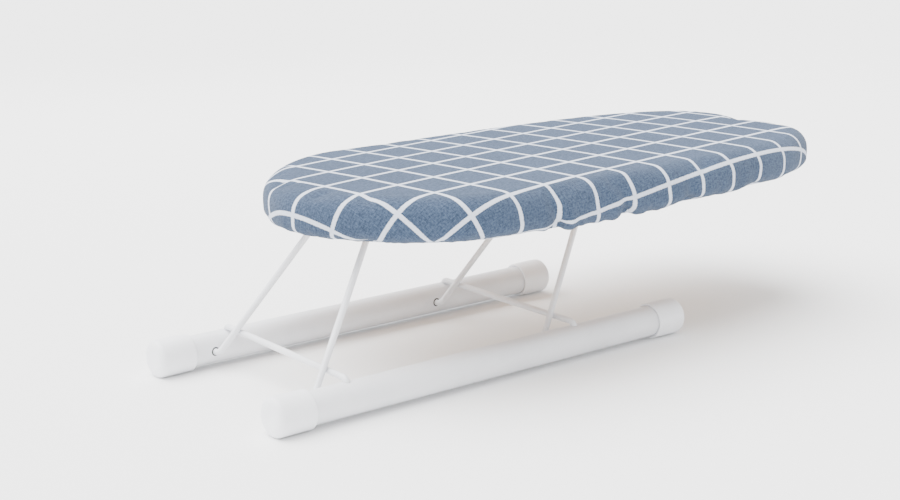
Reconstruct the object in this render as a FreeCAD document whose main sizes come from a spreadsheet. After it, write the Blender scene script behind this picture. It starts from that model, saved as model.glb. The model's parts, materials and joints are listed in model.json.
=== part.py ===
import FreeCAD, Part
import Sketcher
import math
import os

# A table-top ironing board. Two foot tubes carry two bent-wire legs. The legs hold the padded
# board level like the two cranks of a parallelogram: they lean on wire crossbars when the board
# is up, and swing over the other way until the board lies down on the tubes.
# +X runs along the tubes, towards the end that the legs lean to. +Y runs across, to the far tube.
# +Z is up. The origin is on the floor, in the middle of the whole length and width.

SIZES = [
    # The foot tubes and their end caps
    ("base_length", 400),
    ("tube_diameter", 25),
    ("tube_wall", 1.2),
    ("tube_spacing", 170),
    ("cap_diameter", 30),
    ("cap_length", 31),
    ("cap_end_wall", 3),
    ("cap_edge_radius", 5),
    ("cap_lip_radius", 0.8),
    ("cap_flat_depth", 0.5),
    # The bent wires
    ("wire_diameter", 5),
    ("leg_length", 128),
    ("rest_lean", 36),
    ("pivot_inset", 48.5),
    ("pivot_spacing", 220),
    ("pin_depth", 8),
    ("pin_shoulder", 1),
    ("leg_bend_radius", 6),
    ("top_bar_width", 66),
    ("crossbar_bend_radius", 5),
    ("crossbar_end_depth", 9),
    # The fits
    ("running_clearance", 0.05),
    ("stop_gap", 0.1),
    ("board_gap", 0.3),
    # The board's outline: a rounded nose on the left and a blunt end on the right
    ("board_length", 522),
    ("board_offset", 70),
    ("nose_length", 120),
    ("nose_half_width", 122),
    ("nose_roundness", 1.7),
    ("tail_length", 318),
    ("tail_half_width", 124),
    ("tail_roundness", 3.3),
    # The board's layers
    ("panel_thickness", 12),
    ("panel_edge_radius", 1.5),
    ("pad_thickness", 16),
    ("pad_side", 13),
    ("cover_thickness", 1.2),
    ("top_edge_radius", 16),
    ("bottom_edge_radius", 11),
    ("hem_inset", 24),
    ("elastic_width", 5.6),
    ("elastic_thickness", 1.2),
    ("elastic_clearance", 0.1),
    # The saddle clips and their screws
    ("clip_width", 12),
    ("clip_thickness", 1.2),
    ("clip_length", 31),
    ("clip_spacing", 32),
    ("screw_pitch", 20),
    ("screw_diameter", 3),
    ("screw_length", 11),
    ("screw_head_diameter", 6.4),
    ("screw_head_height", 1.9),
    ("screw_hole_clearance", 0.1),
    ("recess_width", 1),
    ("recess_length", 3.6),
    ("recess_depth", 1.1),
]

OUTLINE_STEPS = 6  # points on each quarter of the board's outline

X_AXIS = FreeCAD.Vector(1, 0, 0)
Y_AXIS = FreeCAD.Vector(0, 1, 0)
Z_AXIS = FreeCAD.Vector(0, 0, 1)

doc = FreeCAD.newDocument("IroningBoard")
sheet = doc.addObject("Spreadsheet::Sheet", "Sizes")
for row, (alias, number) in enumerate(SIZES, start=1):
    sheet.set(f"A{row}", alias)
    sheet.set(f"B{row}", str(number))
    sheet.setAlias(f"B{row}", alias)
doc.recompute()

sub_parts = []


def size(alias):
    """A size from the sheet."""
    return float(sheet.get(alias))


# Levels and places that follow from the sizes
WIRE_RADIUS = size("wire_diameter") / 2
TUBE_RADIUS = size("tube_diameter") / 2
TUBE_LEVEL = size("cap_diameter") / 2 - size("cap_flat_depth")
LEAN = math.radians(size("rest_lean"))
BASE_START = -(size("board_offset") + size("board_length")) / 2
BOARD_START = BASE_START + size("board_offset")
BAR_LEVEL = TUBE_LEVEL + size("leg_length") * math.cos(LEAN)
PANEL_LEVEL = BAR_LEVEL + WIRE_RADIUS + size("board_gap")
LEFT_PIVOT = BASE_START + size("pivot_inset")
PIVOTS = {"left": LEFT_PIVOT, "right": LEFT_PIVOT + size("pivot_spacing")}
TUBES = {"near": -size("tube_spacing") / 2, "far": size("tube_spacing") / 2}
CROSSBAR_RISE = TUBE_RADIUS + WIRE_RADIUS
# The leg's side touches the crossbar's side when the leg leans at rest
CROSSBAR_REACH = 2 * WIRE_RADIUS + size("stop_gap") + CROSSBAR_RISE * math.sin(LEAN)
CROSSBAR_OFFSET = CROSSBAR_REACH / math.cos(LEAN)


def add(kind, name, **sizes):
    """A document object with its sizes bound to the sheet by expressions."""
    item = doc.addObject(kind, name)
    for prop, expression in sizes.items():
        item.setExpression(prop, expression)
    return item


def finish(item, label, placement=None):
    """Name a sub-part and put it in its place."""
    item.Label = label
    if placement is not None:
        item.Placement = placement
    sub_parts.append(item)
    return item


def place(x, y, z, rotation=None):
    return FreeCAD.Placement(FreeCAD.Vector(x, y, z), rotation or FreeCAD.Rotation())


def cylinder(name, radius, height, position, axis=Z_AXIS):
    """A cylinder that starts at the position and runs along the axis."""
    item = add("Part::Cylinder", name, Radius=radius, Height=height)
    item.Placement = FreeCAD.Placement(position, FreeCAD.Rotation(Z_AXIS, axis))
    return item


def box(name, length, width, height, centre):
    """A box about its centre point."""
    item = add("Part::Box", name, Length=length, Width=width, Height=height)
    doc.recompute()
    half = FreeCAD.Vector(item.Length.Value, item.Width.Value, item.Height.Value) * 0.5
    item.Placement = FreeCAD.Placement(centre - half, FreeCAD.Rotation())
    return item


def fuse(name, items):
    item = doc.addObject("Part::MultiFuse", name)
    item.Shapes = items
    return item


def cut(name, base, tool):
    item = doc.addObject("Part::Cut", name)
    item.Base = base
    item.Tool = tool
    return item


def origin_plane(body, role):
    """One of the body's own origin planes."""
    return next(plane for plane in body.Origin.OriginFeatures if plane.Role == role)


def circle_sketch(body, name, role, radius):
    """A sketch on an origin plane with one circle about the origin."""
    sketch = body.newObject("Sketcher::SketchObject", name)
    sketch.AttachmentSupport = [(origin_plane(body, role), "")]
    sketch.MapMode = "FlatFace"
    circle = Part.Circle(FreeCAD.Vector(0, 0, 0), Z_AXIS, 10)
    sketch.addGeometry(circle, False)
    sketch.addConstraint(Sketcher.Constraint("Coincident", 0, 3, -1, 1))
    index = sketch.addConstraint(Sketcher.Constraint("Radius", 0, 10))
    sketch.setExpression(f"Constraints[{index}]", radius)
    return sketch


def make_foot_tube(side):
    """A foot tube with holes for the legs' pins, facing the middle, and for the crossbars' ends."""
    name = f"{side}_foot_tube"
    start = BASE_START + size("cap_end_wall")
    middle = FreeCAD.Vector(start, TUBES[side], TUBE_LEVEL)
    length = "Sizes.base_length - 2 * Sizes.cap_end_wall"
    outside = cylinder(f"{name}_outside", "Sizes.tube_diameter / 2", length, middle, X_AXIS)
    bore_radius = "Sizes.tube_diameter / 2 - Sizes.tube_wall"
    tools = [cylinder(f"{name}_bore", bore_radius, length, middle, X_AXIS)]
    inward = Y_AXIS if side == "near" else -Y_AXIS
    pin_hole = "Sizes.wire_diameter / 2 + Sizes.running_clearance"
    top_hole = "Sizes.wire_diameter / 2"
    reach = "Sizes.tube_diameter"
    for end, pivot in PIVOTS.items():
        pin_place = FreeCAD.Vector(pivot, TUBES[side], TUBE_LEVEL)
        top_place = FreeCAD.Vector(pivot + CROSSBAR_OFFSET, TUBES[side], TUBE_LEVEL)
        tools.append(cylinder(f"{name}_{end}_pin_hole", pin_hole, reach, pin_place, inward))
        tools.append(cylinder(f"{name}_{end}_top_hole", top_hole, reach, top_place))
    finish(cut(name, outside, fuse(f"{name}_holes", tools)), name)


def make_end_cap(side, end):
    """A moulded cup over a tube's end, with a rounded rim and a narrow flat to stand on."""
    name = f"{side}_{end}_end_cap"
    body = doc.addObject("PartDesign::Body", name)
    wall = body.newObject("PartDesign::Pad", f"{name}_pad")
    wall.Profile = circle_sketch(body, f"{name}_outline", "XY_Plane", "Sizes.cap_diameter / 2")
    wall.setExpression("Length", "Sizes.cap_length")
    doc.recompute()
    solid_volume = wall.Shape.Volume
    bore = body.newObject("PartDesign::Pocket", f"{name}_bore")
    bore_sketch = circle_sketch(body, f"{name}_bore_outline", "XY_Plane", "Sizes.tube_diameter / 2")
    bore_sketch.AttachmentOffset = place(0, 0, size("cap_end_wall"))
    bore_sketch.setExpression("AttachmentOffset.Base.z", "Sizes.cap_end_wall")
    bore.Profile = bore_sketch
    bore.Reversed = True
    bore.setExpression("Length", "Sizes.cap_length")
    doc.recompute()
    assert bore.Shape.Volume < 0.7 * solid_volume, "the cap's bore cuts nothing"
    rim = body.newObject("PartDesign::Fillet", f"{name}_rim")
    rim.Base = (bore, [outer_edge(bore.Shape, 0)])
    rim.setExpression("Radius", "Sizes.cap_edge_radius")
    doc.recompute()
    lip = body.newObject("PartDesign::Fillet", f"{name}_lip")
    lip.Base = (rim, [outer_edge(rim.Shape, size("cap_length"))])
    lip.setExpression("Radius", "Sizes.cap_lip_radius")
    flat = body.newObject("PartDesign::Pocket", f"{name}_flat")
    flat.Profile = flat_sketch(body, f"{name}_flat_outline")
    flat.Reversed = True
    flat.setExpression("Length", "Sizes.cap_length")
    body.Tip = flat
    doc.recompute()
    assert flat.Shape.Volume < lip.Shape.Volume, "the cap's flat cuts nothing"
    turn = FreeCAD.Rotation(Y_AXIS, 90)
    cap_end = BASE_START
    if end == "right":
        turn = FreeCAD.Rotation(Z_AXIS, 180) * turn
        cap_end = BASE_START + size("base_length")
    finish(body, name, place(cap_end, TUBES[side], TUBE_LEVEL, turn))


def outer_edge(shape, level):
    """The name of the outermost round edge at a level."""
    edges = [(edge.Curve.Radius, index) for index, edge in enumerate(shape.Edges, start=1)
             if isinstance(edge.Curve, Part.Circle) and abs(edge.Curve.Center.z - level) < 1e-4]
    return f"Edge{max(edges)[1]}"


def flat_sketch(body, name):
    """A rectangle outside the flat, square to the cap's axis."""
    sketch = body.newObject("Sketcher::SketchObject", name)
    sketch.AttachmentSupport = [(origin_plane(body, "XY_Plane"), "")]
    sketch.MapMode = "FlatFace"
    inner, outer, half = 14, 18, 12
    corners = [(inner, -half), (outer, -half), (outer, half), (inner, half)]
    points = [FreeCAD.Vector(x, y, 0) for x, y in corners]
    for first, second in zip(points, points[1:] + points[:1]):
        sketch.addGeometry(Part.LineSegment(first, second), False)
    for line in range(4):
        sketch.addConstraint(Sketcher.Constraint("Coincident", line, 2, (line + 1) % 4, 1))
    for line in (0, 2):
        sketch.addConstraint(Sketcher.Constraint("Horizontal", line))
    for line in (1, 3):
        sketch.addConstraint(Sketcher.Constraint("Vertical", line))
    level = sketch.addConstraint(Sketcher.Constraint("DistanceX", -1, 1, 0, 1, inner))
    sketch.setExpression(f"Constraints[{level}]", "Sizes.cap_diameter / 2 - Sizes.cap_flat_depth")
    depth = sketch.addConstraint(Sketcher.Constraint("DistanceX", 0, 1, 0, 2, outer - inner))
    sketch.setExpression(f"Constraints[{depth}]", "Sizes.cap_diameter / 4")
    below = sketch.addConstraint(Sketcher.Constraint("DistanceY", 0, 1, -1, 1, half))
    sketch.setExpression(f"Constraints[{below}]", "Sizes.cap_diameter / 2")
    width = sketch.addConstraint(Sketcher.Constraint("DistanceY", 0, 1, 2, 2, 2 * half))
    sketch.setExpression(f"Constraints[{width}]", "Sizes.cap_diameter")
    return sketch


def rounded_path(corners, radius):
    """Straight runs from corner to corner, joined by tangent arcs of one radius."""
    edges = []
    start = corners[0]
    for before, corner, after in zip(corners, corners[1:], corners[2:]):
        back = (before - corner).normalize()
        ahead = (after - corner).normalize()
        half_angle = back.getAngle(ahead) / 2
        reach = radius / math.tan(half_angle)
        middle = corner + (back + ahead).normalize() * (radius / math.sin(half_angle) - radius)
        arc_start = corner + back * reach
        arc_end = corner + ahead * reach
        edges.append(Part.LineSegment(start, arc_start).toShape())
        edges.append(Part.Arc(arc_start, middle, arc_end).toShape())
        start = arc_end
    edges.append(Part.LineSegment(start, corners[-1]).toShape())
    return Part.Wire(edges)


def bent_wire(name, corners, bend_radius):
    """A round wire swept along its bends."""
    path = doc.addObject("Part::Feature", f"{name}_path")
    path.Shape = rounded_path(corners, bend_radius)
    section = add("Part::Circle", f"{name}_section", Radius="Sizes.wire_diameter / 2")
    run = corners[1] - corners[0]
    section.Placement = FreeCAD.Placement(corners[0], FreeCAD.Rotation(Z_AXIS, run))
    sweep = doc.addObject("Part::Sweep", name)
    sweep.Sections = [section]
    sweep.Spine = (path, [f"Edge{index}" for index in range(1, len(path.Shape.Edges) + 1)])
    sweep.Solid = True
    return sweep


def mirrored_corners(half):
    """Corners of a wire form from one half's, which start at an end and stop beside the middle."""
    far = [FreeCAD.Vector(0, y, z) for y, z in half]
    near = [FreeCAD.Vector(0, -y, z) for y, z in reversed(half)]
    return far + near


def make_leg(end):
    """A leg: a pin into each tube, two slanting sides and a narrower top bar."""
    pin_start = size("tube_spacing") / 2 - TUBE_RADIUS
    bend_reach = leg_bend_reach(pin_start)
    foot = pin_start - size("pin_shoulder") - bend_reach
    bar = size("top_bar_width") / 2
    top = size("leg_length")
    pin_end = pin_start + size("pin_depth")
    half = [(pin_end, 0), (foot, 0), (bar, top)]
    corners = mirrored_corners(half)
    turn = FreeCAD.Rotation(Y_AXIS, size("rest_lean"))
    leg = bent_wire(f"{end}_leg", corners, size("leg_bend_radius"))
    finish(leg, f"{end}_leg", place(PIVOTS[end], 0, TUBE_LEVEL, turn))


def leg_bend_reach(pin_start):
    """How far the bend at the foot reaches along the pin."""
    slope = math.atan2(size("leg_length"), pin_start - size("top_bar_width") / 2)
    return size("leg_bend_radius") * math.tan(slope / 2)


def make_crossbar(end):
    """A staple of wire across both tubes, its ends bent down into their tops."""
    rise = CROSSBAR_RISE
    down = TUBE_RADIUS - size("crossbar_end_depth")
    half = [(size("tube_spacing") / 2, down), (size("tube_spacing") / 2, rise)]
    corners = mirrored_corners(half)
    crossbar = bent_wire(f"{end}_crossbar", corners, size("crossbar_bend_radius"))
    finish(crossbar, f"{end}_crossbar", place(PIVOTS[end] + CROSSBAR_OFFSET, 0, TUBE_LEVEL))


def quarter_outline(end, tip, direction):
    """Points of one superelliptic quarter, from the tip of the nose or tail to its widest place."""
    power = 2 / size(f"{end}_roundness")
    points = []
    for step in range(OUTLINE_STEPS + 1):
        angle = math.pi / 2 * step / OUTLINE_STEPS
        along = size(f"{end}_length") * (1 - math.cos(angle) ** power)
        across = size(f"{end}_half_width") * math.sin(angle) ** power
        points.append(FreeCAD.Vector(tip + direction * along, across, 0))
    return points


def outline_curve():
    """The board's outline as one closed smooth curve."""
    nose = quarter_outline("nose", BOARD_START, 1)
    tail = quarter_outline("tail", BOARD_START + size("board_length"), -1)
    far_side = nose + tail[::-1]
    near_side = [FreeCAD.Vector(point.x, -point.y, 0) for point in far_side[-2:0:-1]]
    curve = Part.BSplineCurve()
    curve.interpolate(Points=far_side + near_side, PeriodicFlag=True)
    return curve


def inset_face(curve, inset):
    """A flat face inside the outline, at the same distance from it all round."""
    points = []
    count = 8 * OUTLINE_STEPS
    middle = FreeCAD.Vector(0.5 * size("board_length") + BOARD_START, 0, 0)
    for step in range(count):
        reach = curve.length() * step / count
        parameter = curve.parameterAtDistance(reach, curve.FirstParameter)
        point = curve.value(parameter)
        tangent = FreeCAD.Vector(*curve.tangent(parameter)[0])
        normal = tangent.cross(Z_AXIS).normalize()
        if normal.dot(middle - point) < 0:
            normal = -normal
        points.append(point + normal * inset)
    inner = Part.BSplineCurve()
    inner.interpolate(Points=points, PeriodicFlag=True)
    return Part.Face(Part.Wire(inner.toShape()))


def slab(curve, inset, bottom, top, top_radius=0, bottom_radius=0):
    """A slab inside the outline, with its edges rounded."""
    solid = inset_face(curve, inset).extrude(Z_AXIS * (top - bottom))
    solid.translate(Z_AXIS * bottom)
    for level, radius in ((top, top_radius), (bottom, bottom_radius)):
        if radius:
            edges = [edge for edge in solid.Edges if abs(edge.BoundBox.ZMin - level) < 1e-4
                     and abs(edge.BoundBox.ZMax - level) < 1e-4]
            solid = solid.makeFillet(radius, edges)
    return solid


def pad_block(curve):
    """The padded board without its cover: panel and pad together."""
    cloth = size("cover_thickness")
    top = PANEL_LEVEL + size("panel_thickness") + size("pad_thickness")
    top_radius = size("top_edge_radius") - cloth
    bottom_radius = size("bottom_edge_radius") - cloth
    return slab(curve, cloth, PANEL_LEVEL, top, top_radius, bottom_radius)


def screw_places():
    """Where the clips' screws go, on the panel's underside."""
    lean_shift = size("leg_length") * math.sin(LEAN)
    places = []
    for pivot in PIVOTS.values():
        for y in (-size("clip_spacing") / 2, size("clip_spacing") / 2):
            for x in (-size("screw_pitch") / 2, size("screw_pitch") / 2):
                places.append(FreeCAD.Vector(pivot + lean_shift + x, y, PANEL_LEVEL))
    return places


def make_panel(curve):
    """The board itself: a flat panel with rounded edges and holes for the clips' screws."""
    inset = size("cover_thickness") + size("pad_side")
    edge = size("panel_edge_radius")
    top = PANEL_LEVEL + size("panel_thickness")
    panel = slab(curve, inset, PANEL_LEVEL, top, edge, edge)
    depth = size("screw_length") - size("clip_thickness")
    for spot in screw_places():
        panel = panel.cut(Part.makeCylinder(size("screw_diameter") / 2, depth, spot, Z_AXIS))
    item = doc.addObject("Part::Feature", "board_panel")
    item.Shape = panel
    finish(item, "board_panel", place(0, 0, 0))


def make_pad(curve):
    """The soft pad over the panel's top and round its edge."""
    inset = size("cover_thickness") + size("pad_side")
    edge = size("panel_edge_radius")
    top = PANEL_LEVEL + size("panel_thickness")
    panel = slab(curve, inset, PANEL_LEVEL, top, edge, edge)
    item = doc.addObject("Part::Feature", "foam_pad")
    item.Shape = pad_block(curve).cut(panel)
    finish(item, "foam_pad", place(0, 0, 0))


def hem_channel(curve, clearance):
    """The room for the elastic inside the folded hem."""
    cloth = size("cover_thickness")
    top = PANEL_LEVEL - cloth
    bottom = top - size("elastic_thickness") + clearance
    inner = size("hem_inset") - cloth - clearance
    outer = size("hem_inset") - cloth - size("elastic_width") + clearance
    return slab(curve, outer, bottom, top).cut(slab(curve, inner, bottom - 1, top + 1))


def make_cover(curve):
    """The cotton cover: over the pad, round the edge and under the panel to its folded hem."""
    cloth = size("cover_thickness")
    top = PANEL_LEVEL + size("panel_thickness") + size("pad_thickness") + cloth
    bottom = PANEL_LEVEL - cloth
    outside = slab(curve, 0, bottom, top, size("top_edge_radius"), size("bottom_edge_radius"))
    hem_bottom = bottom - size("elastic_thickness") - cloth
    hem_outer = size("hem_inset") - size("elastic_width") - 2 * cloth
    hem = slab(curve, hem_outer, hem_bottom, bottom + cloth / 2)
    opening = slab(curve, size("hem_inset"), hem_bottom - cloth, PANEL_LEVEL + cloth)
    cover = outside.fuse(hem).cut(pad_block(curve)).cut(opening).cut(hem_channel(curve, 0))
    item = doc.addObject("Part::Feature", "cotton_cover")
    item.Shape = cover
    finish(item, "cotton_cover", place(0, 0, 0))


def make_elastic(curve):
    """The flat elastic loop inside the hem, which holds the cover on the board."""
    item = doc.addObject("Part::Feature", "hem_elastic")
    item.Shape = hem_channel(curve, size("elastic_clearance"))
    finish(item, "hem_elastic", place(0, 0, 0))


def make_clip(side, end, across):
    """A saddle clip: a strap bent round the leg's top bar, with an ear and a screw hole each side."""
    name = f"{side}_{end}_clip"
    thickness = size("clip_thickness")
    drop = WIRE_RADIUS + size("board_gap")
    bore = "Sizes.wire_diameter / 2 + Sizes.running_clearance"
    saddle = f"{bore} + Sizes.clip_thickness"
    half = size("clip_width") / 2
    axis_start = FreeCAD.Vector(0, -half, -drop)
    ears = box(f"{name}_ears", "Sizes.clip_length", "Sizes.clip_width", "Sizes.clip_thickness",
               FreeCAD.Vector(0, 0, -thickness / 2))
    neck_height = "Sizes.wire_diameter / 2 + Sizes.board_gap"
    neck = box(f"{name}_neck", f"2 * ({saddle})", "Sizes.clip_width", neck_height,
               FreeCAD.Vector(0, 0, -drop / 2))
    round_part = cylinder(f"{name}_round", saddle, "Sizes.clip_width", axis_start, Y_AXIS)
    tools = [cylinder(f"{name}_bore", bore, "Sizes.clip_width", axis_start, Y_AXIS)]
    tools.append(box(f"{name}_mouth", f"2 * ({bore})", "Sizes.clip_width", neck_height,
                     FreeCAD.Vector(0, 0, -drop / 2)))
    above = "Sizes.wire_diameter"
    tools.append(box(f"{name}_above", f"2 * ({saddle})", "Sizes.clip_width", above,
                     FreeCAD.Vector(0, 0, WIRE_RADIUS)))
    for index, x in enumerate((-size("screw_pitch") / 2, size("screw_pitch") / 2)):
        hole_radius = "Sizes.screw_diameter / 2 + Sizes.screw_hole_clearance"
        hole_start = FreeCAD.Vector(x, 0, -2 * thickness)
        tools.append(cylinder(f"{name}_hole_{index}", hole_radius, "3 * Sizes.clip_thickness", hole_start))
    clip = cut(name, fuse(f"{name}_strap", [ears, neck, round_part]), fuse(f"{name}_cuts", tools))
    bar_x = PIVOTS[end] + size("leg_length") * math.sin(LEAN)
    finish(clip, name, place(bar_x, across, PANEL_LEVEL))


def make_screws():
    """The clips' cross-head screws, as separate solids."""
    head_height = size("screw_head_height")
    seat = PANEL_LEVEL - size("clip_thickness")
    screws = []
    for spot in screw_places():
        head_bottom = FreeCAD.Vector(spot.x, spot.y, seat - head_height)
        head = Part.makeCylinder(size("screw_head_diameter") / 2, head_height, head_bottom, Z_AXIS)
        head = head.makeFillet(head_height / 2, [outermost(head, head_bottom.z)])
        shank_start = FreeCAD.Vector(spot.x, spot.y, seat)
        shank = Part.makeCylinder(size("screw_diameter") / 2, size("screw_length"), shank_start, Z_AXIS)
        screws.append(head.fuse(shank).cut(cross_recess(head_bottom)))
    item = doc.addObject("Part::Feature", "clip_screws")
    item.Shape = Part.makeCompound(screws)
    finish(item, "clip_screws", place(0, 0, 0))


def outermost(head, level):
    """The head's round edge at a level."""
    return next(edge for edge in head.Edges
                if isinstance(edge.Curve, Part.Circle) and abs(edge.Curve.Center.z - level) < 1e-4)


def cross_recess(centre):
    """The cross in a screw's head."""
    width = size("recess_width")
    length = size("recess_length")
    depth = size("recess_depth")
    along = Part.makeBox(length, width, depth, centre - FreeCAD.Vector(length / 2, width / 2, 0))
    across = Part.makeBox(width, length, depth, centre - FreeCAD.Vector(width / 2, length / 2, 0))
    return along.fuse(across)


def check_and_write():
    """Stop on any failed object or bad shape, and then write each sub-part."""
    doc.recompute()
    for item in doc.Objects:
        assert "Invalid" not in item.State and "Error" not in item.State, item.Label
    os.makedirs("parts", exist_ok=True)
    for item in sub_parts:
        shape = item.Shape
        assert not shape.isNull() and shape.isValid(), item.Label
        shape.exportStep(f"parts/{item.Label}.step")
        bounds = shape.optimalBoundingBox()
        print(f"{item.Label:22s} solids {len(shape.Solids):2d} volume {shape.Volume / 1000:9.2f} cm3"
              f"  x {bounds.XMin:7.1f} {bounds.XMax:7.1f}  y {bounds.YMin:7.1f} {bounds.YMax:7.1f}"
              f"  z {bounds.ZMin:6.1f} {bounds.ZMax:6.1f}")


for tube_side in TUBES:
    make_foot_tube(tube_side)
    for tube_end in PIVOTS:
        make_end_cap(tube_side, tube_end)
for leg_end in PIVOTS:
    make_leg(leg_end)
    make_crossbar(leg_end)
board_outline = outline_curve()
make_panel(board_outline)
make_pad(board_outline)
make_cover(board_outline)
make_elastic(board_outline)
for clip_end in PIVOTS:
    make_clip("near", clip_end, -size("clip_spacing") / 2)
    make_clip("far", clip_end, size("clip_spacing") / 2)
make_screws()
check_and_write()
print(f"pivots {PIVOTS}, pivot level {TUBE_LEVEL:.2f}, bar level {BAR_LEVEL:.3f}, panel {PANEL_LEVEL:.3f}")
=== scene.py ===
import json
import math

import bmesh
import bpy
from mathutils import Matrix, Vector, noise


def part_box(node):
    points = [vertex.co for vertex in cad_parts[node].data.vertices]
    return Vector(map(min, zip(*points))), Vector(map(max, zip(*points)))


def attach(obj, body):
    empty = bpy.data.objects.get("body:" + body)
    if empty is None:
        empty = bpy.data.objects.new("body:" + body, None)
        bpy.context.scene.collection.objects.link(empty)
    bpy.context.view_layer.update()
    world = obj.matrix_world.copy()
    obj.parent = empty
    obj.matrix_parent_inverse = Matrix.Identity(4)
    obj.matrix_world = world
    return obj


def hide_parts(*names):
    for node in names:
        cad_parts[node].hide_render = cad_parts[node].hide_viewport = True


bl_info = {
    "name": "Table-top ironing board",
    "version": (1, 0, 0),
    "blender": (4, 5, 0),
    "location": "View3D > Sidebar > Ironing board",
    "description": "Finishes, fitted cover and soft pad for a table-top ironing board",
    "category": "Object",
}

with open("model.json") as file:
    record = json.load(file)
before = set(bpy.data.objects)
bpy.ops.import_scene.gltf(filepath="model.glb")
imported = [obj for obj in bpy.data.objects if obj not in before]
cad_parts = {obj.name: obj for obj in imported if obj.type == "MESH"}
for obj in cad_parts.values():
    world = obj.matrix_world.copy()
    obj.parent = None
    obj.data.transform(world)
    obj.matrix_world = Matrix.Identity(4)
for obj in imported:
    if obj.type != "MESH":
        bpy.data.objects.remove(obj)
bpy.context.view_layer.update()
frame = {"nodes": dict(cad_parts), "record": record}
CAPS = [f"{side}_{end}_end_cap" for side in ("near", "far") for end in ("left", "right")]
CLIPS = [f"{side}_{end}_clip" for end in ("left", "right") for side in ("near", "far")]
COVER_LOW, COVER_HIGH = (Vector(corner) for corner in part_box("cotton_cover"))
PANEL_LOW, PANEL_HIGH = (Vector(corner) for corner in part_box("board_panel"))
PIVOTS = [Vector(joint["pos_m"]) for joint in frame["record"]["behaviour"]["joints"][:2]]
BASE_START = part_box("near_left_end_cap")[0][0]

# The board's outline: a rounded nose at the left end and a blunter tail at the right
NOSE_LENGTH = 0.120
NOSE_HALF_WIDTH = 0.122
NOSE_ROUNDNESS = 1.7
TAIL_LENGTH = 0.318
TAIL_HALF_WIDTH = 0.124
TAIL_ROUNDNESS = 3.3
OUTLINE_POINTS = 480
HEM_INSET = 0.024
HEM_WIDTH = 0.008
HELD_RINGS = 8
# The folded hem's section: inset past its start, and drop below the underside
HEM_ROLL = [(0.0005, 0.0014), (0.0022, 0.0024), (0.0045, 0.0024), (0.0068, 0.0014), (0.0078, 0.0000)]
HEM_TUCK = 0.0010
CLOTH_THICKNESS = 0.0012
TOP_CROWN = 0.0012
TOP_EDGE_RADIUS = 0.016
LOWER_EDGE_RADIUS = 0.009
UNDERSIDE_STEPS = 4
RIM_SAG = 0.0028
GATHER_DEPTH = 0.0025
GATHER_REACH = 0.5  # share of the cover's height that the gathers climb
PUCKER_REACH = 0.95  # and the puckers
PUCKER_SLANT = 0.014
FLAT_ENOUGH = 0.05  # a normal this near to upright is the flat top
SETTLE_FRAMES = 20
PAD_INSET = 0.0088
PAD_DROP = 0.0040
PAD_CLEARANCE = 0.0003
CAP_BASE = 0.003
CAP_LIP = 0.0009
CAP_DRAFT = 0.0002

# Puckers in the cover's lower edge: place along the board from its middle, side, width and depth
PUCKERS = [
    (-0.092, -1, 0.0046, 0.0085),
    (-0.079, -1, 0.0060, -0.0020),
    (-0.020, -1, 0.0046, 0.0072),
    (-0.010, -1, 0.0070, -0.0015),
    (0.051, -1, 0.0050, 0.0050),
    (0.133, -1, 0.0080, 0.0025),
    (-0.120, 1, 0.0070, 0.0040),
    (0.030, 1, 0.0060, 0.0055),
    (0.150, 1, 0.0090, 0.0035),
]


class CoverSettings(bpy.types.PropertyGroup):
    check_pitch: bpy.props.FloatProperty(
        name="Check pitch", description="From one white line of the cover to the next",
        default=0.0384, unit="LENGTH")
    line_width: bpy.props.FloatProperty(
        name="Line width", description="Width of the white lines", default=0.0035, unit="LENGTH")
    print_turn: bpy.props.FloatProperty(
        name="Print turn", description="How far the check is turned on the board",
        default=math.radians(8.15), unit="ROTATION")
    print_place: bpy.props.FloatVectorProperty(
        name="Print place", description="A crossing of two white lines", size=2,
        default=(BASE_START + 0.0844, 0.1037), unit="LENGTH")
    ground: bpy.props.FloatVectorProperty(
        name="Ground", description="The cover's slate blue", subtype="COLOR", size=4,
        default=(0.030, 0.046, 0.080, 1.0))
    fleck: bpy.props.FloatVectorProperty(
        name="Fleck", description="The lighter yarn in the slate blue", subtype="COLOR", size=4,
        default=(0.074, 0.110, 0.178, 1.0))
    line: bpy.props.FloatVectorProperty(
        name="Line", description="The white lines", subtype="COLOR", size=4,
        default=(0.66, 0.71, 0.82, 1.0))
    slack: bpy.props.FloatProperty(
        name="Slack", description="How much the cloth is longer than the pad it covers",
        default=0.004, min=0, max=0.1, subtype="FACTOR")
    most_lift: bpy.props.FloatProperty(
        name="Most lift", description="How far the cloth may stand off the pad",
        default=0.0042, unit="LENGTH")
    ease: bpy.props.FloatProperty(
        name="Ease", description="How much larger than the pad the cover is cut, before it pulls tight",
        default=0.0022, unit="LENGTH")


class FrameSettings(bpy.types.PropertyGroup):
    coat: bpy.props.FloatVectorProperty(
        name="Powder coat", description="Colour of the painted tubes and wires", subtype="COLOR", size=4,
        default=(0.80, 0.81, 0.84, 1.0))
    cap: bpy.props.FloatVectorProperty(
        name="Cap plastic", description="Colour of the end caps", subtype="COLOR", size=4,
        default=(0.90, 0.91, 0.94, 1.0))
    panel: bpy.props.FloatVectorProperty(
        name="Fibreboard", description="Colour of the bare panel", subtype="COLOR", size=4,
        default=(0.40, 0.25, 0.13, 1.0))
    cap_edge: bpy.props.FloatProperty(
        name="Cap edge", description="Radius round a cap's closed end", default=0.005, unit="LENGTH")


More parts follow.
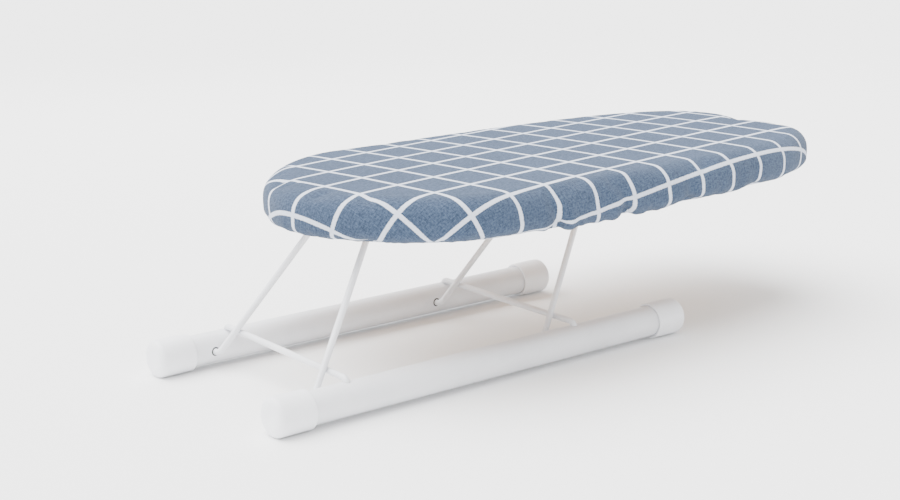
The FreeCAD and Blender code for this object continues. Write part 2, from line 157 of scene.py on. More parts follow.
class StageSettings(bpy.types.PropertyGroup):
    camera_place: bpy.props.FloatVectorProperty(
        name="Camera place", description="Where the camera stands", size=3,
        default=(BASE_START - 0.5319, -0.9678, 0.3901), unit="LENGTH")
    camera_heading: bpy.props.FloatProperty(
        name="Camera heading", description="Turn of the view from +Y towards +X",
        default=0.6649, unit="ROTATION")
    camera_dip: bpy.props.FloatProperty(
        name="Camera dip", description="How far the view points down", default=0.2454, unit="ROTATION")
    camera_roll: bpy.props.FloatProperty(
        name="Camera roll", description="Turn of the camera about its view", default=-0.0085, unit="ROTATION")
    camera_lens: bpy.props.FloatProperty(
        name="Lens", description="Focal length in millimetres", default=62.6)
    floor_shade: bpy.props.FloatProperty(
        name="Floor shade", description="How pale the floor is", default=0.95, min=0, max=1)


# ---------------------------------------------------------------- meshes

def finish_mesh(name, mesh_data, body, material, replaces=()):
    """A bmesh becomes a finished piece that rides on a body."""
    mesh = bpy.data.meshes.new(name)
    mesh_data.to_mesh(mesh)
    mesh_data.free()
    piece = bpy.data.objects.new(name, mesh)
    bpy.context.scene.collection.objects.link(piece)
    mesh.materials.append(material)
    mesh.shade_smooth()
    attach(piece, body)
    if replaces:
        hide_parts(*replaces)
    return piece


def quarter(tip, direction, length, half_width, roundness, steps):
    """Points of one superelliptic quarter, from the tip of the nose or tail to its widest place."""
    points = []
    for step in range(steps + 1):
        angle = math.pi / 2 * step / steps
        along = length * (1 - math.cos(angle) ** (2 / roundness))
        across = half_width * math.sin(angle) ** (2 / roundness)
        points.append(Vector((tip + direction * along, across)))
    return points


def half_outline(steps=400):
    """Close points along the far half of the outline, from the nose's tip to the tail's."""
    nose = quarter(COVER_LOW.x, 1, NOSE_LENGTH, NOSE_HALF_WIDTH, NOSE_ROUNDNESS, steps)
    tail = quarter(COVER_HIGH.x, -1, TAIL_LENGTH, TAIL_HALF_WIDTH, TAIL_ROUNDNESS, steps)
    return nose + tail[::-1]


def even_points(points, count):
    """The same line with a count of evenly spaced steps."""
    reach = [0.0]
    for first, second in zip(points, points[1:]):
        reach.append(reach[-1] + (second - first).length)
    spaced = []
    place = 0
    for step in range(count + 1):
        target = reach[-1] * step / count
        while place < len(points) - 2 and reach[place + 1] < target:
            place += 1
        span = max(reach[place + 1] - reach[place], 1e-9)
        spaced.append(points[place].lerp(points[place + 1], min((target - reach[place]) / span, 1)))
    return spaced


def outline():
    """Evenly spaced points round the board and the way out at each."""
    far = even_points(half_outline(), OUTLINE_POINTS // 2)
    near = [Vector((point.x, -point.y)) for point in far[-2:0:-1]]
    points = far + near
    outward = []
    for index in range(len(points)):
        step = points[(index + 2) % len(points)] - points[index - 2]
        outward.append(Vector((-step.y, step.x)).normalized())
    return points, outward


def spine_point(point):
    """Where the rings of the top close, on a line along the board's middle."""
    length = COVER_HIGH.x - COVER_LOW.x
    share = (point.x - COVER_LOW.x) / length
    return Vector((COVER_LOW.x + 0.10 + share * (length - 0.19), 0))


class Ring:
    """One ring of a board-shaped skin: inset from the outline, height, and cloth length past the top."""

    def __init__(self, inset, height, cloth=None, share=None):
        self.inset = inset
        self.height = height
        self.cloth = -inset if cloth is None else cloth
        self.share = share


def skin_rings(top, bottom, top_radius, bottom_radius, crown, top_rings=20):
    """The rings of the board's skin, from the middle of the top to the start of the underside."""
    rings = []
    for step in range(top_rings):
        share = step / top_rings
        rings.append(Ring(top_radius, top + crown * (1 - share ** 2), share=share))
    cloth = -top_radius
    for step in range(8):
        angle = math.pi / 2 * step / 7
        inset = top_radius * (1 - math.sin(angle))
        height = top - top_radius * (1 - math.cos(angle))
        rings.append(Ring(inset, height, cloth + top_radius * angle))
    cloth += top_radius * math.pi / 2
    side = top - top_radius - (bottom + bottom_radius)
    for step in range(6):
        angle = math.pi / 2 * step / 5
        inset = bottom_radius * (1 - math.cos(angle))
        height = bottom + bottom_radius * (1 - math.sin(angle))
        rings.append(Ring(inset, height, cloth + side + bottom_radius * angle))
    return rings


def ring_corner(ring, point, outward):
    """Where a ring runs at one point of the outline, and its place on the flat cloth."""
    base = point - outward * ring.inset
    if ring.share is not None:
        base = spine_point(point).lerp(base, ring.share)
        flat = base
    else:
        flat = point + outward * ring.cloth
    return Vector((base.x, base.y, ring.height)), flat


def partner_in(vert, fresh):
    """The new vertex that an extrusion joined to a vertex."""
    return next(edge.other_vert(vert) for edge in vert.link_edges if edge.other_vert(vert) in fresh)


def loft(rings):
    """A skin through rings that run round the board, with its flat cloth as a UV map."""
    points, outward = outline()
    mesh = bmesh.new()
    flat_layer = mesh.verts.layers.float_vector.new("flat")
    first = bmesh.ops.create_circle(mesh, cap_ends=False, segments=len(points), radius=0.1)["verts"]
    edges = list(mesh.edges)
    rows = [first]
    for ring in rings[1:]:
        made = bmesh.ops.extrude_edge_only(mesh, edges=edges)["geom"]
        fresh = {item for item in made if isinstance(item, bmesh.types.BMVert)}
        rows.append([partner_in(vert, fresh) for vert in rows[-1]])
        edges = [item for item in made if isinstance(item, bmesh.types.BMEdge)]
    for ring, row in zip(rings, rows):
        for vert, point, out in zip(row, points, outward):
            vert.co, flat = ring_corner(ring, point, out)
            vert[flat_layer] = (flat.x, flat.y, 0)
    uv_layer = mesh.loops.layers.uv.new("cloth")
    for face in mesh.faces:
        for loop in face.loops:
            loop[uv_layer].uv = loop.vert[flat_layer][:2]
    bmesh.ops.remove_doubles(mesh, verts=rows[0], dist=1e-5)
    bmesh.ops.recalc_face_normals(mesh, faces=mesh.faces)
    return mesh


def spun(profile, axis, centre, segments=64):
    """A closed skin spun from a profile of (reach along the axis, radius)."""
    mesh = bmesh.new()
    side = axis.orthogonal().normalized()
    verts = [mesh.verts.new(centre + axis * along + side * radius) for along, radius in profile]
    edges = [mesh.edges.new(pair) for pair in zip(verts, verts[1:])]
    bmesh.ops.spin(mesh, geom=verts + edges, cent=centre, axis=axis, angle=math.tau,
                   steps=segments, use_merge=True, use_duplicate=False)
    bmesh.ops.remove_doubles(mesh, verts=mesh.verts, dist=1e-6)
    bmesh.ops.recalc_face_normals(mesh, faces=mesh.faces)
    return mesh


# ---------------------------------------------------------------- shader groups

class Graph:
    """Short calls for building a node tree."""

    def __init__(self, tree):
        self.tree = tree

    def node(self, kind, **settings):
        node = self.tree.nodes.new(kind)
        for key, value in settings.items():
            if key.startswith("in_"):
                node.inputs[key[3:]].default_value = value
            else:
                setattr(node, key, value)
        return node

    def link(self, source, target):
        self.tree.links.new(source, target)

    def math(self, operation, first, second=None):
        """A Math node fed by sockets or plain numbers."""
        node = self.node("ShaderNodeMath", operation=operation)
        for socket, value in zip(node.inputs, (first, second)):
            if value is None:
                continue
            if isinstance(value, (int, float)):
                socket.default_value = value
            else:
                self.link(value, socket)
        return node.outputs[0]

    def mix(self, factor, first, second):
        """A colour Mix node fed by sockets or colours."""
        node = self.node("ShaderNodeMix", data_type="RGBA")
        colours = [socket for socket in node.inputs if socket.type == "RGBA"]
        for socket, value in zip([node.inputs[0]] + colours, (factor, first, second)):
            if isinstance(value, bpy.types.NodeSocket):
                self.link(value, socket)
            else:
                socket.default_value = value
        return next(socket for socket in node.outputs if socket.type == "RGBA")

    def noise(self, vector, scale, detail=2.0, roughness=0.5):
        node = self.node("ShaderNodeTexNoise", in_Scale=scale, in_Detail=detail, in_Roughness=roughness)
        self.link(vector, node.inputs["Vector"])
        return node.outputs["Fac"]

    def stretch(self, vector, scale, turn=0.0):
        node = self.node("ShaderNodeMapping")
        node.inputs["Scale"].default_value = scale
        node.inputs["Rotation"].default_value = (0, 0, turn)
        self.link(vector, node.inputs["Vector"])
        return node.outputs["Vector"]

    def ramp(self, value, low, high, to_low=0.0, to_high=1.0):
        node = self.node("ShaderNodeMapRange", clamp=True)
        for socket, amount in zip(node.inputs, (None, low, high, to_low, to_high)):
            if amount is not None:
                socket.default_value = amount
        self.link(value, node.inputs["Value"])
        return node.outputs["Result"]


def new_group(name, inputs, outputs):
    """A shader node group with named sockets, and its graph and ends."""
    tree = bpy.data.node_groups.new(name, "ShaderNodeTree")
    for label, kind, default in inputs:
        socket = tree.interface.new_socket(label, in_out="INPUT", socket_type=kind)
        if default is not None:
            socket.default_value = default
    for label, kind in outputs:
        tree.interface.new_socket(label, in_out="OUTPUT", socket_type=kind)
    graph = Graph(tree)
    start = graph.node("NodeGroupInput")
    end = graph.node("NodeGroupOutput")
    return graph, start, end


def weave_group():
    """Plain weave: crossing yarns as height, and their uneven colour as a mask."""
    graph, start, end = new_group(
        "Plain weave",
        [("Vector", "NodeSocketVector", None), ("Yarns per metre", "NodeSocketFloat", 1600.0)],
        [("Height", "NodeSocketFloat"), ("Fleck", "NodeSocketFloat"), ("Mottle", "NodeSocketFloat")])
    vector = start.outputs["Vector"]
    split = graph.node("ShaderNodeSeparateXYZ")
    graph.link(vector, split.inputs[0])
    waves = []
    for axis in ("X", "Y"):
        turns = graph.math("MULTIPLY", split.outputs[axis], start.outputs["Yarns per metre"])
        waves.append(graph.math("SINE", graph.math("MULTIPLY", turns, math.pi)))
    over = graph.math("MULTIPLY", waves[0], waves[1])
    warp = graph.noise(graph.stretch(vector, (1100, 150, 1)), 1.0, 3.0, 0.7)
    weft = graph.noise(graph.stretch(vector, (150, 1100, 1)), 1.0, 3.0, 0.7)
    slub = graph.noise(graph.stretch(vector, (520, 520, 1)), 1.0, 3.0, 0.7)
    fibre = graph.math("ADD", graph.math("MULTIPLY", warp, 0.5), graph.math("MULTIPLY", weft, 0.5))
    speck = graph.math("ADD", graph.math("MULTIPLY", fibre, 0.6), graph.math("MULTIPLY", slub, 0.4))
    graph.link(graph.ramp(speck, 0.42, 0.60), end.inputs["Fleck"])
    graph.link(graph.noise(vector, 14.0, 3.0), end.inputs["Mottle"])
    height = graph.math("ADD", graph.math("MULTIPLY", over, 0.35), speck)
    graph.link(height, end.inputs["Height"])
    return graph.tree


def check_group():
    """A window-pane check: white lines woven both ways, with slightly uneven edges."""
    graph, start, end = new_group(
        "Window-pane check",
        [("Vector", "NodeSocketVector", None), ("Pitch", "NodeSocketFloat", 0.04),
         ("Width", "NodeSocketFloat", 0.003)],
        [("Line", "NodeSocketFloat")])
    split = graph.node("ShaderNodeSeparateXYZ")
    graph.link(start.outputs["Vector"], split.inputs[0])
    ragged = graph.noise(graph.stretch(start.outputs["Vector"], (900, 900, 1)), 1.0, 2.0)
    shift = graph.math("MULTIPLY", graph.math("SUBTRACT", ragged, 0.5), 0.0010)
    lines = []
    for axis in ("X", "Y"):
        half_pitch = graph.math("MULTIPLY", start.outputs["Pitch"], 0.5)
        nearest = graph.math("PINGPONG", split.outputs[axis], half_pitch)
        reach = graph.math("ADD", nearest, shift)
        half = graph.math("MULTIPLY", start.outputs["Width"], 0.5)
        inside = graph.math("SUBTRACT", half, reach)
        lines.append(graph.ramp(inside, -0.0002, 0.0002))
    graph.link(graph.math("MAXIMUM", lines[0], lines[1]), end.inputs["Line"])
    return graph.tree


def coat_group():
    """Powder coat: a faint orange peel, and rubbed and soiled patches as masks."""
    graph, start, end = new_group(
        "Powder coat",
        [("Vector", "NodeSocketVector", None), ("Grain", "NodeSocketFloat", 900.0)],
        [("Peel", "NodeSocketFloat"), ("Soil", "NodeSocketFloat"), ("Rub", "NodeSocketFloat")])
    vector = start.outputs["Vector"]
    peel = graph.node("ShaderNodeTexNoise", in_Detail=2.0)
    graph.link(vector, peel.inputs["Vector"])
    graph.link(start.outputs["Grain"], peel.inputs["Scale"])
    graph.link(peel.outputs["Fac"], end.inputs["Peel"])
    graph.link(graph.ramp(graph.noise(vector, 18.0, 4.0, 0.6), 0.45, 0.80), end.inputs["Soil"])
    graph.link(graph.ramp(graph.noise(vector, 70.0, 5.0, 0.7), 0.55, 0.75), end.inputs["Rub"])
    return graph.tree


def painted_hole_shade_group():
    """Painted shade at the holes that the legs' pins turn in, on the tubes' inner sides: a near-black disc
    round each hole stands in for the shadow in the hole's clearance gap.
    """
    graph, start, end = new_group(
        "Painted hole shade",
        [("Vector", "NodeSocketVector", None), ("First hole", "NodeSocketFloat", 0.0),
         ("Second hole", "NodeSocketFloat", 0.0), ("Level", "NodeSocketFloat", 0.0),
         ("Inner side", "NodeSocketFloat", 0.0), ("Reach", "NodeSocketFloat", 0.003)],
        [("Edge", "NodeSocketFloat")])
    split = graph.node("ShaderNodeSeparateXYZ")
    graph.link(start.outputs["Vector"], split.inputs[0])
    rise = graph.math("SUBTRACT", split.outputs["Z"], start.outputs["Level"])
    rings = []
    for label in ("First hole", "Second hole"):
        along = graph.math("SUBTRACT", split.outputs["X"], start.outputs[label])
        square = graph.math("ADD", graph.math("MULTIPLY", along, along), graph.math("MULTIPLY", rise, rise))
        inside = graph.math("SUBTRACT", start.outputs["Reach"], graph.math("SQRT", square))
        rings.append(graph.ramp(inside, -0.0002, 0.0002))
    facing = graph.math("LESS_THAN", graph.math("ABSOLUTE", split.outputs["Y"]), start.outputs["Inner side"])
    graph.link(graph.math("MULTIPLY", graph.math("MAXIMUM", rings[0], rings[1]), facing), end.inputs["Edge"])
    return graph.tree


def board_fibre_group():
    """Pressed fibreboard: short chips and a fine grit."""
    graph, start, end = new_group(
        "Pressed fibre",
        [("Vector", "NodeSocketVector", None)],
        [("Chips", "NodeSocketFloat"), ("Grit", "NodeSocketFloat")])
    chips = graph.noise(graph.stretch(start.outputs["Vector"], (60, 240, 240), 0.5), 1.0, 5.0, 0.65)
    graph.link(graph.ramp(chips, 0.35, 0.68), end.inputs["Chips"])
    graph.link(graph.noise(start.outputs["Vector"], 1400.0, 3.0, 0.6), end.inputs["Grit"])
    return graph.tree


GROUP_MAKERS = {
    "Plain weave": weave_group,
    "Window-pane check": check_group,
    "Powder coat": coat_group,
    "Pressed fibre": board_fibre_group,
    "Painted hole shade": painted_hole_shade_group,
}


def start_material(name, roughness, **sockets):
    """A material with a Principled shader whose constant values are set on it."""
    material = bpy.data.materials.new(name)
    material.use_nodes = True
    graph = Graph(material.node_tree)
    shader = next(node for node in graph.tree.nodes if node.type == "BSDF_PRINCIPLED")
    shader.inputs["Roughness"].default_value = roughness
    for label, value in sockets.items():
        shader.inputs[label.replace("_", " ")].default_value = value
    return material, graph, shader


def use_group(graph, name, vector, **values):
    """A shared effect placed in a material."""
    tree = bpy.data.node_groups.get(name) or GROUP_MAKERS[name]()
    node = graph.node("ShaderNodeGroup", node_tree=tree)
    graph.link(vector, node.inputs["Vector"])
    for label, value in values.items():
        node.inputs[label.replace("_", " ")].default_value = value
    return node


def add_bump(graph, shader, height, strength, distance):
    """Fine relief from a height."""
    bump = graph.node("ShaderNodeBump", in_Strength=strength, in_Distance=distance)
    graph.link(height, bump.inputs["Height"])
    graph.link(bump.outputs["Normal"], shader.inputs["Normal"])


def object_vector(graph):
    """The place on the piece, in metres."""
    return graph.node("ShaderNodeTexCoord").outputs["Object"]


def cover_material(settings):
    """Heathered slate cotton with a white window-pane check, laid out on the flat cloth."""
    material, graph, shader = start_material("Checked cotton", 0.92, Sheen_Weight=0.08, Sheen_Roughness=0.5)
    shader.inputs["Specular IOR Level"].default_value = 0.15
    cloth = graph.node("ShaderNodeUVMap", uv_map="cloth").outputs["UV"]
    place = graph.node("ShaderNodeMapping", vector_type="TEXTURE")
    place.inputs["Location"].default_value = (*settings.print_place, 0)
    place.inputs["Rotation"].default_value = (0, 0, settings.print_turn)
    graph.link(cloth, place.inputs["Vector"])
    placed = place.outputs["Vector"]
    weave = use_group(graph, "Plain weave", placed)
    check = use_group(graph, "Window-pane check", placed,
                      Pitch=settings.check_pitch, Width=settings.line_width)
    ground = graph.mix(weave.outputs["Fleck"], tuple(settings.ground), tuple(settings.fleck))
    mottle = graph.ramp(weave.outputs["Mottle"], 0.3, 0.7, 0.92, 1.06)
    tone = graph.node("ShaderNodeHueSaturation")
    graph.link(mottle, tone.inputs["Value"])
    graph.link(ground, tone.inputs["Color"])
    dull_line = tuple(0.86 * value for value in settings.line)
    pale = graph.mix(weave.outputs["Fleck"], dull_line, tuple(settings.line))
    colour = graph.mix(check.outputs["Line"], tone.outputs["Color"], pale)
    graph.link(colour, shader.inputs["Base Color"])
    raised = graph.math("ADD", weave.outputs["Height"], graph.math("MULTIPLY", check.outputs["Line"], 0.25))
    add_bump(graph, shader, raised, 0.55, 0.0006)
    return material


def pad_material():
    """Open-cell foam."""
    material, graph, shader = start_material("Foam", 0.95, Sheen_Weight=0.1)
    vector = object_vector(graph)
    cells = graph.noise(vector, 700.0, 4.0, 0.7)
    graph.link(graph.mix(cells, (0.70, 0.66, 0.55, 1), (0.86, 0.84, 0.76, 1)), shader.inputs["Base Color"])
    add_bump(graph, shader, cells, 0.6, 0.0008)
    return material


def coat_material(name, colour, roughness, grain, painted_shade_at_holes=False):
    """White paint or plastic with a faint peel, light soiling and a slightly uneven gloss; on the tubes, also
    painted shade round the pin holes.
    """
    material, graph, shader = start_material(name, roughness)
    vector = object_vector(graph)
    coat = use_group(graph, "Powder coat", vector, Grain=grain)
    soiled = tuple(0.90 * value for value in colour[:3]) + (1,)
    paint = graph.mix(coat.outputs["Soil"], colour, soiled)
    if painted_shade_at_holes:
        holes = use_group(graph, "Painted hole shade", vector, First_hole=PIVOTS[0].x, Second_hole=PIVOTS[1].x,
                          Level=PIVOTS[0].z, Inner_side=-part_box("near_foot_tube")[1][1] + 0.004,
                          Reach=0.0036)
        # Painted shade: a near-black disc round each pin hole, in place of the shadow in the hole's gap
        paint = graph.mix(holes.outputs["Edge"], paint, (0.020, 0.020, 0.022, 1))
    graph.link(paint, shader.inputs["Base Color"])
    gloss = graph.ramp(coat.outputs["Rub"], 0, 1, roughness, roughness + 0.16)
    graph.link(gloss, shader.inputs["Roughness"])
    add_bump(graph, shader, coat.outputs["Peel"], 0.12, 0.0004)
    return material


def panel_material(settings):
    """Bare pressed fibreboard."""
    material, graph, shader = start_material("Fibreboard", 0.8)
    fibre = use_group(graph, "Pressed fibre", object_vector(graph))
    dark = tuple(0.72 * value for value in settings.panel[:3]) + (1,)
    chips = graph.mix(fibre.outputs["Chips"], dark, tuple(settings.panel))
    graph.link(graph.mix(graph.ramp(fibre.outputs["Grit"], 0.4, 0.8, 0, 0.35), chips, (0.55, 0.40, 0.25, 1)),
               shader.inputs["Base Color"])
    add_bump(graph, shader, fibre.outputs["Grit"], 0.3, 0.0004)
    return material


def zinc_material():
    """Zinc-plated steel, for the screws."""
    material, graph, shader = start_material("Zinc plate", 0.35)
    coat = use_group(graph, "Powder coat", object_vector(graph), Grain=1500.0)
    graph.link(graph.mix(coat.outputs["Soil"], (0.62, 0.63, 0.65, 1), (0.50, 0.50, 0.50, 1)),
               shader.inputs["Base Color"])
    graph.link(graph.ramp(coat.outputs["Peel"], 0, 1, 0.9, 1.0), shader.inputs["Metallic"])
    graph.link(graph.ramp(coat.outputs["Rub"], 0, 1, 0.28, 0.5), shader.inputs["Roughness"])
    return material


def elastic_material():
    """Flat woven elastic with ribs along it."""
    material, graph, shader = start_material("Elastic", 0.85)
    ribs = graph.noise(graph.stretch(object_vector(graph), (900, 900, 200)), 1.0, 2.0)
    graph.link(graph.mix(ribs, (0.66, 0.66, 0.64, 1), (0.86, 0.86, 0.84, 1)), shader.inputs["Base Color"])
    add_bump(graph, shader, ribs, 0.4, 0.0003)
    return material


def repaint(nodes, material):
    """CAD nodes keep their shape and take a material."""
    for name in nodes:
        node = frame["nodes"][name]
        if not node.material_slots:
            node.data.materials.append(material)
        for slot in node.material_slots:
            slot.material = material


# ---------------------------------------------------------------- the cover

def cover_rings(ease):
    """The fitted cover: top, rounded edge, underside and the rolled hem."""
    bottom = PANEL_LOW.z - CLOTH_THICKNESS
    rim_bottom = bottom - RIM_SAG
    rings = skin_rings(COVER_HIGH.z - CLOTH_THICKNESS, rim_bottom,
                       TOP_EDGE_RADIUS, LOWER_EDGE_RADIUS, TOP_CROWN)
    for ring in rings:
        ring.inset -= ease
    cloth = rings[-1].cloth
    start = rings[-1].inset
    hem_start = HEM_INSET - HEM_WIDTH
    for step in range(1, UNDERSIDE_STEPS + 1):
        share = step / UNDERSIDE_STEPS
        inset = start + (hem_start - start) * share
        rings.append(Ring(inset, rim_bottom + RIM_SAG * share ** 2, cloth + inset - start))
    cloth += hem_start - start
    for inset, drop in HEM_ROLL:
        rings.append(Ring(hem_start + inset, bottom - drop, cloth + inset))
    rings.append(Ring(HEM_INSET, bottom + HEM_TUCK, cloth + HEM_WIDTH + HEM_TUCK))
    return rings


def gather(place, middle_x):
    """How far the cloth stands out where the elastic gathers it, and in where it puckers."""
    level = (place.z - COVER_LOW.z) / (COVER_HIGH.z - COVER_LOW.z)
    share = max(0.0, 1.0 - level / GATHER_REACH)
    around = math.atan2(2 * place.y, place.x - middle_x)
    ring = Vector((math.cos(around), math.sin(around), 0))
    waves = noise.noise(ring * 9) + 0.7 * noise.noise(ring * 24) + 0.4 * noise.noise(ring * 60)
    lift = GATHER_DEPTH * waves * share
    for along, side, width, depth in PUCKERS:
        if place.y * side > 0:
            off = abs(place.x - middle_x - along + PUCKER_SLANT * level) / width
            lift -= depth * math.exp(-off ** 1.6) * max(0.0, 1.0 - level / PUCKER_REACH)
    return lift


def pucker(piece):
    """Gathers and puckers in the cover's edge and underside, which leave the top flat."""
    mesh = bmesh.new()
    mesh.from_mesh(piece.data)
    mesh.normal_update()
    middle_x = (COVER_LOW.x + COVER_HIGH.x) / 2
    free = len(mesh.verts) - HELD_RINGS * OUTLINE_POINTS
    edge = [vert for vert in mesh.verts if vert.index < free]
    moves = [(vert, vert.normal * gather(vert.co, middle_x)) for vert in edge
             if max(abs(vert.normal.x), abs(vert.normal.y)) > FLAT_ENOUGH]
    for vert, move in moves:
        vert.co += move
    mesh.to_mesh(piece.data)
    mesh.free()


def settle_cloth(piece, settings):
    """The cover as cloth, a little longer than the pad and pressed out by it."""
    rest = [vert.co.copy() for vert in piece.data.vertices]
    held = piece.vertex_groups.new(name="held")
    first_held = len(rest) - HELD_RINGS * OUTLINE_POINTS
    for vert in piece.data.vertices:
        if vert.index >= first_held:
            held.add([vert.index], 1.0, "REPLACE")
    cloth = piece.modifiers.new("Cloth", "CLOTH")
    cloth.settings.quality = 6
    cloth.settings.mass = 0.15
    cloth.settings.tension_stiffness = 25
    cloth.settings.compression_stiffness = 25
    cloth.settings.shear_stiffness = 8
    cloth.settings.bending_stiffness = 0.4
    cloth.settings.use_pressure = True
    cloth.settings.uniform_pressure_force = 3
    cloth.settings.shrink_min = -settings.slack
    cloth.settings.vertex_group_mass = held.name
    cloth.settings.effector_weights.gravity = 0
    cloth.collision_settings.use_collision = False
    scene = bpy.context.scene
    scene.frame_start = 1
    scene.frame_end = SETTLE_FRAMES
    cloth.point_cache.frame_start = 1
    cloth.point_cache.frame_end = SETTLE_FRAMES
    for number in range(1, SETTLE_FRAMES + 1):
        scene.frame_set(number)
    settled = piece.evaluated_get(bpy.context.evaluated_depsgraph_get()).to_mesh()
    moved = [vert.co.copy() for vert in settled.vertices]
    piece.evaluated_get(bpy.context.evaluated_depsgraph_get()).to_mesh_clear()
    piece.modifiers.remove(cloth)
    piece.vertex_groups.remove(held)
    for vert, before, after in zip(piece.data.vertices, rest, moved):
        step = after - before
        if step.length > settings.most_lift:
            step *= settings.most_lift / step.length
        vert.co = before + step
    scene.frame_set(1)


class IRONINGBOARD_OT_cover(bpy.types.Operator):
    """Fits the checked cotton cover over the pad, gathered under the board by its hem"""
    bl_idname = "ironingboard.cover"
    bl_label = "Cotton cover"

    def execute(self, context):
        settings = context.scene.ironing_board_cover
        mesh = loft(cover_rings(settings.ease))
        material = cover_material(settings)
        piece = finish_mesh("checked_cover", mesh, "board", material, ["cotton_cover"])
        settle_cloth(piece, settings)
        pucker(piece)
        smooth = piece.modifiers.new("Smooth cloth", "SUBSURF")
        smooth.levels = smooth.render_levels = 1
        return {"FINISHED"}


class IRONINGBOARD_OT_pad(bpy.types.Operator):
    """Makes the foam pad between the panel and the cover"""
    bl_idname = "ironingboard.pad"
    bl_label = "Foam pad"

    def execute(self, context):
        rings = skin_rings(COVER_HIGH.z - PAD_DROP, PANEL_HIGH.z + PAD_CLEARANCE, 0.009, 0.002, 0.0)
        for ring in rings:
            ring.inset += PAD_INSET
        mesh = loft(rings)
        rim = [edge for edge in mesh.edges if edge.is_boundary]
        bmesh.ops.holes_fill(mesh, edges=rim, sides=0)
        bmesh.ops.recalc_face_normals(mesh, faces=mesh.faces)
        pad = finish_mesh("soft_pad", mesh, "board", pad_material(), ["foam_pad"])
        return {"FINISHED"}


class IRONINGBOARD_OT_underside(bpy.types.Operator):
    """Finishes the bare panel, the elastic, the saddle clips and their screws"""
    bl_idname = "ironingboard.underside"
    bl_label = "Panel, elastic and clips"

    def execute(self, context):
        settings = context.scene.ironing_board_frame
        repaint(["board_panel"], panel_material(settings))
        repaint(["hem_elastic"], elastic_material())
        repaint(CLIPS, coat_material("Clip paint", tuple(settings.coat), 0.38, 1100.0))
        repaint(["clip_screws"], zinc_material())
        return {"FINISHED"}


class IRONINGBOARD_OT_frame(bpy.types.Operator):
    """Finishes the foot tubes, the wire legs and the crossbars in white powder coat"""
    bl_idname = "ironingboard.frame"
    bl_label = "Tubes and wires"

    def execute(self, context):
        settings = context.scene.ironing_board_frame
        # The tube coat carries painted shade round the leg pins' holes
        tube = coat_material("Tube powder coat", tuple(settings.coat), 0.34, 800.0, painted_shade_at_holes=True)
        wire = coat_material("Wire powder coat", tuple(settings.coat), 0.30, 1100.0)
        repaint(["near_foot_tube", "far_foot_tube"], tube)
        repaint(["left_leg", "right_leg", "left_crossbar", "right_crossbar"], wire)
        return {"FINISHED"}


class IRONINGBOARD_OT_caps(bpy.types.Operator):
    """Makes the moulded end caps, with a soft closed end, a draft and a rolled lip"""
    bl_idname = "ironingboard.caps"
    bl_label = "End caps"

    def execute(self, context):
        settings = context.scene.ironing_board_frame
        material = coat_material("Cap plastic", tuple(settings.cap), 0.46, 500.0)
        for name in CAPS:
            mesh = cap_mesh(name, settings.cap_edge)
            finish_mesh(f"{name}_moulding", mesh, "base", material, [name])
        return {"FINISHED"}


def cap_mesh(name, edge_radius):
    """One cap: a cup over the tube's end, spun about the tube and cut off flat underneath."""
    low, high = (Vector(corner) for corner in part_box(name))
    tube_low, tube_high = (Vector(corner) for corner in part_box(name.split("_")[0] + "_foot_tube"))
    bore = (tube_high.z - tube_low.z) / 2
    radius = (high.y - low.y) / 2
    length = high.x - low.x
    left = "left" in name
    axis = Vector((1 if left else -1, 0, 0))
    centre = Vector((low.x if left else high.x, (low.y + high.y) / 2, (tube_low.z + tube_high.z) / 2))
    profile = [(0.0004, 0.0), (0.0004, radius * 0.30), (0.0, radius * 0.42),
               (0.0, radius - edge_radius - 0.001)]
    for step in range(1, 9):
        angle = math.pi / 2 * step / 8
        profile.append((edge_radius * (1 - math.cos(angle)), radius - edge_radius * (1 - math.sin(angle))))
    profile += [(length * 0.5, radius), (length - 0.0022, radius - CAP_DRAFT)]
    rim_radius = radius - CAP_DRAFT
    for step in range(5):
        angle = math.pi / 2 * step / 4
        reach = length - CAP_LIP * (1 - math.sin(angle))
        profile.append((reach, rim_radius - CAP_LIP * (1 - math.cos(angle))))
    profile += [(length - 0.0002, bore + 0.0007), (length - 0.0010, bore), (CAP_BASE, bore), (CAP_BASE, 0.0)]
    mesh = spun(profile, axis, centre)
    cut = bmesh.ops.bisect_plane(mesh, geom=mesh.verts[:] + mesh.edges[:] + mesh.faces[:], dist=1e-7,
                                 plane_co=(0, 0, 0.0), plane_no=(0, 0, -1), clear_outer=True)
    rim = [item for item in cut["geom_cut"] if isinstance(item, bmesh.types.BMEdge)]
    if rim:
        bmesh.ops.holes_fill(mesh, edges=rim, sides=0)
    bmesh.ops.recalc_face_normals(mesh, faces=mesh.faces)
    return mesh


# ---------------------------------------------------------------- the stage

def area_light(name, place, aim, size, power):
    """A square lamp that points from its place at another."""
    light = bpy.data.lights.new(name, "AREA")
    light.energy = power
    light.size = size
    lamp = bpy.data.objects.new(name, light)
    lamp.location = place
    lamp.rotation_euler = (Vector(aim) - Vector(place)).to_track_quat("-Z", "Y").to_euler()
    bpy.context.scene.collection.objects.link(lamp)


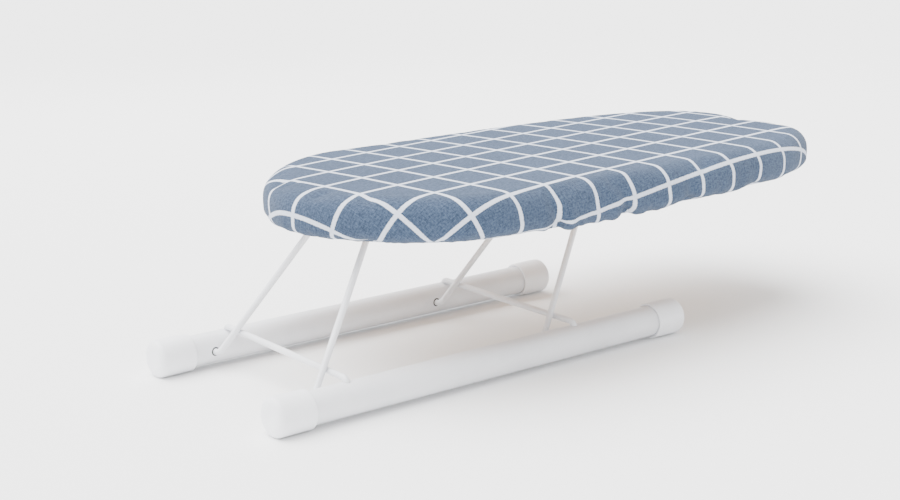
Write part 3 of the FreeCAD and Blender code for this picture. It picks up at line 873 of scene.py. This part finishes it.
class IRONINGBOARD_OT_stage(bpy.types.Operator):
    """Sets a pale floor, soft light and the camera"""
    bl_idname = "ironingboard.stage"
    bl_label = "Stage and camera"

    def execute(self, context):
        settings = context.scene.ironing_board_stage
        mesh = bmesh.new()
        bmesh.ops.create_grid(mesh, x_segments=2, y_segments=2, size=12)
        floor_mesh = bpy.data.meshes.new("floor")
        mesh.to_mesh(floor_mesh)
        mesh.free()
        floor = bpy.data.objects.new("floor", floor_mesh)
        context.scene.collection.objects.link(floor)
        material, graph, shader = start_material("Pale floor", 0.9)
        shade = settings.floor_shade
        shader.inputs["Base Color"].default_value = (shade, shade, shade, 1)
        shader.inputs["Specular IOR Level"].default_value = 0.0
        floor_mesh.materials.append(material)
        world = bpy.data.worlds.new("Soft white")
        world.use_nodes = True
        world.node_tree.nodes["Background"].inputs["Color"].default_value = (1, 1, 1, 1)
        world.node_tree.nodes["Background"].inputs["Strength"].default_value = 1.5
        context.scene.world = world
        sun = bpy.data.lights.new("Overhead", "SUN")
        sun.energy = 9.2
        sun.angle = math.radians(70)
        lamp = bpy.data.objects.new("Overhead", sun)
        lamp.rotation_euler = (math.radians(-16), math.radians(-18), 0)
        context.scene.collection.objects.link(lamp)
        area_light("Back", (0.4, 1.2, 1.1), (0, 0, 0.12), 1.2, 10)
        self.add_camera(context, settings)
        return {"FINISHED"}

    def add_camera(self, context, settings):
        data = bpy.data.cameras.new("Camera")
        data.lens = settings.camera_lens
        camera = bpy.data.objects.new("Camera", data)
        heading = Matrix.Rotation(-settings.camera_heading, 4, "Z")
        dip = Matrix.Rotation(math.pi / 2 - settings.camera_dip, 4, "X")
        roll = Matrix.Rotation(settings.camera_roll, 4, "Z")
        camera.matrix_world = Matrix.Translation(settings.camera_place) @ heading @ dip @ roll
        context.scene.collection.objects.link(camera)
        context.scene.camera = camera


class IRONINGBOARD_PT_panel(bpy.types.Panel):
    """Lists the board's pieces and their settings"""
    bl_label = "Ironing board"
    bl_idname = "IRONINGBOARD_PT_panel"
    bl_space_type = "VIEW_3D"
    bl_region_type = "UI"
    bl_category = "Ironing board"

    def draw(self, context):
        for operator in OPERATORS:
            self.layout.operator(operator.bl_idname)
        for group in (context.scene.ironing_board_cover, context.scene.ironing_board_frame,
                      context.scene.ironing_board_stage):
            for name in group.bl_rna.properties.keys():
                if name not in ("rna_type", "name"):
                    self.layout.prop(group, name)


OPERATORS = [
    IRONINGBOARD_OT_stage,
    IRONINGBOARD_OT_frame,
    IRONINGBOARD_OT_caps,
    IRONINGBOARD_OT_underside,
    IRONINGBOARD_OT_pad,
    IRONINGBOARD_OT_cover,
]
CLASSES = [CoverSettings, FrameSettings, StageSettings] + OPERATORS + [IRONINGBOARD_PT_panel]


def register():
    for item in CLASSES:
        bpy.utils.register_class(item)
    bpy.types.Scene.ironing_board_cover = bpy.props.PointerProperty(type=CoverSettings)
    bpy.types.Scene.ironing_board_frame = bpy.props.PointerProperty(type=FrameSettings)
    bpy.types.Scene.ironing_board_stage = bpy.props.PointerProperty(type=StageSettings)


def unregister():
    del bpy.types.Scene.ironing_board_cover
    del bpy.types.Scene.ironing_board_frame
    del bpy.types.Scene.ironing_board_stage
    for item in reversed(CLASSES):
        bpy.utils.unregister_class(item)


def main():
    register()
    bpy.ops.ironingboard.stage()
    bpy.ops.ironingboard.frame()
    bpy.ops.ironingboard.caps()
    bpy.ops.ironingboard.underside()
    bpy.ops.ironingboard.pad()
    bpy.ops.ironingboard.cover()


if __name__ == "__main__":
    main()
